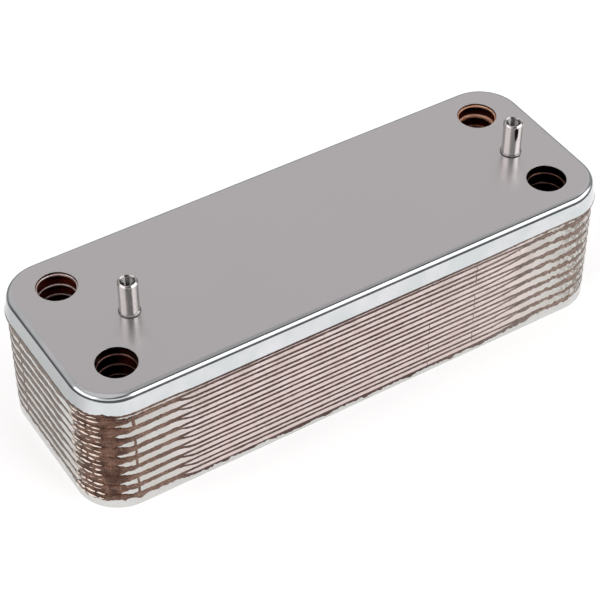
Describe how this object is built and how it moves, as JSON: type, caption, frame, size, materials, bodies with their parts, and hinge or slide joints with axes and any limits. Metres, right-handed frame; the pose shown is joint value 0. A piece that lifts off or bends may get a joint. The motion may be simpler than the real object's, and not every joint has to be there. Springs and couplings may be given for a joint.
{
  "type": "brazed plate heat exchanger",
  "caption": "Compact brazed plate heat exchanger for a boiler: a stack of nested pressed steel plates with ports and two hollow threaded studs on its flat front cover.",
  "frame": {"origin": "centre of the four ports, in the plane that the back rim stands on", "axes": "+Z points out of the front cover, the way the ports and studs face; +X runs along the long sides, with the stud nearer its end of the cover at +X; +Y completes the right hand"},
  "size_m": [0.2086, 0.0738, 0.0653],
  "materials": {
    "cover_steel": "satin stainless sheet, soft reflections",
    "channel_steel": "thin stainless sheet with brown copper stain along each edge",
    "braze_copper": "dull melted copper",
    "back_steel": "satin stainless sheet",
    "stud_steel": "bright turned stainless steel",
    "weld_steel": "bright weld metal"
  },
  "bodies": {
    "root": {"front_cover": "cover_steel", "channel_plate_01": "channel_steel", "channel_plate_02": "channel_steel", "channel_plate_03": "channel_steel", "channel_plate_04": "channel_steel", "channel_plate_05": "channel_steel", "channel_plate_06": "channel_steel", "channel_plate_07": "channel_steel", "channel_plate_08": "channel_steel", "channel_plate_09": "channel_steel", "channel_plate_10": "channel_steel", "channel_plate_11": "channel_steel", "channel_plate_12": "channel_steel", "channel_plate_13": "channel_steel", "channel_plate_14": "channel_steel", "channel_plate_15": "channel_steel", "channel_plate_16": "channel_steel", "channel_plate_17": "channel_steel", "channel_plate_18": "channel_steel", "copper_braze_01": "braze_copper", "copper_braze_02": "braze_copper", "copper_braze_03": "braze_copper", "copper_braze_04": "braze_copper", "copper_braze_05": "braze_copper", "copper_braze_06": "braze_copper", "copper_braze_07": "braze_copper", "copper_braze_08": "braze_copper", "copper_braze_09": "braze_copper", "copper_braze_10": "braze_copper", "copper_braze_11": "braze_copper", "copper_braze_12": "braze_copper", "copper_braze_13": "braze_copper", "copper_braze_14": "braze_copper", "copper_braze_15": "braze_copper", "copper_braze_16": "braze_copper", "copper_braze_17": "braze_copper", "copper_braze_18": "braze_copper", "copper_braze_19": "braze_copper", "back_cover": "back_steel", "stud_left": "stud_steel", "stud_right": "stud_steel", "stud_weld_left": "weld_steel", "stud_weld_right": "weld_steel"}
  },
  "joints": []
}
